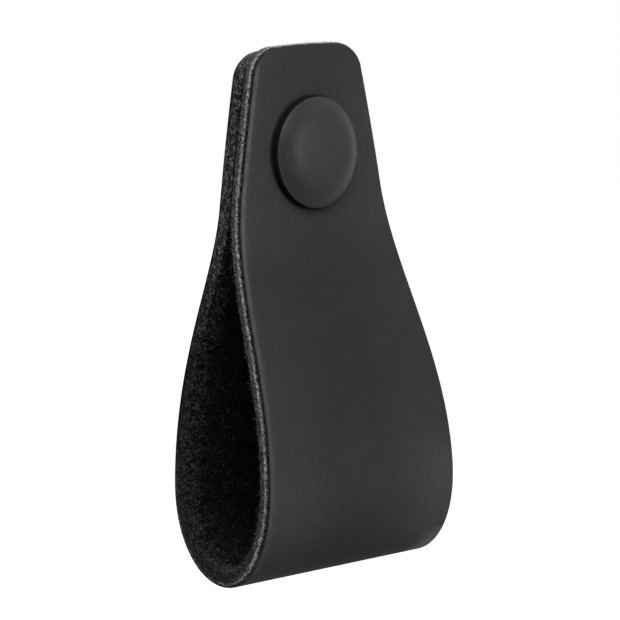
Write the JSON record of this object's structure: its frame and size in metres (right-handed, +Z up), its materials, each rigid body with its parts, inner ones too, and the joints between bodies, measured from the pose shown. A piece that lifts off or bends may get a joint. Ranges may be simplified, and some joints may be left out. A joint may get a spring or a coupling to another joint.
{
  "type": "leather loop knob",
  "caption": "Cabinet or drawer knob: a thick black leather strap folded into a hanging finger loop, clamped under a round domed metal button.",
  "frame": {"origin": "where the fixing screw's axis meets the flat back face of the strap, which bears on the drawer front", "axes": "+Y out of the back face into the drawer front, -Y towards the user, +Z up, +X to the user's right"},
  "size_m": [0.0352, 0.0185, 0.07],
  "materials": {
    "black_leather": "smooth matt grain outside, fibrous flesh side and cut edges",
    "matt_black_metal": "matt black lacquer"
  },
  "bodies": {
    "root": {"strap": "black_leather", "button": "matt_black_metal"}
  },
  "joints": []
}
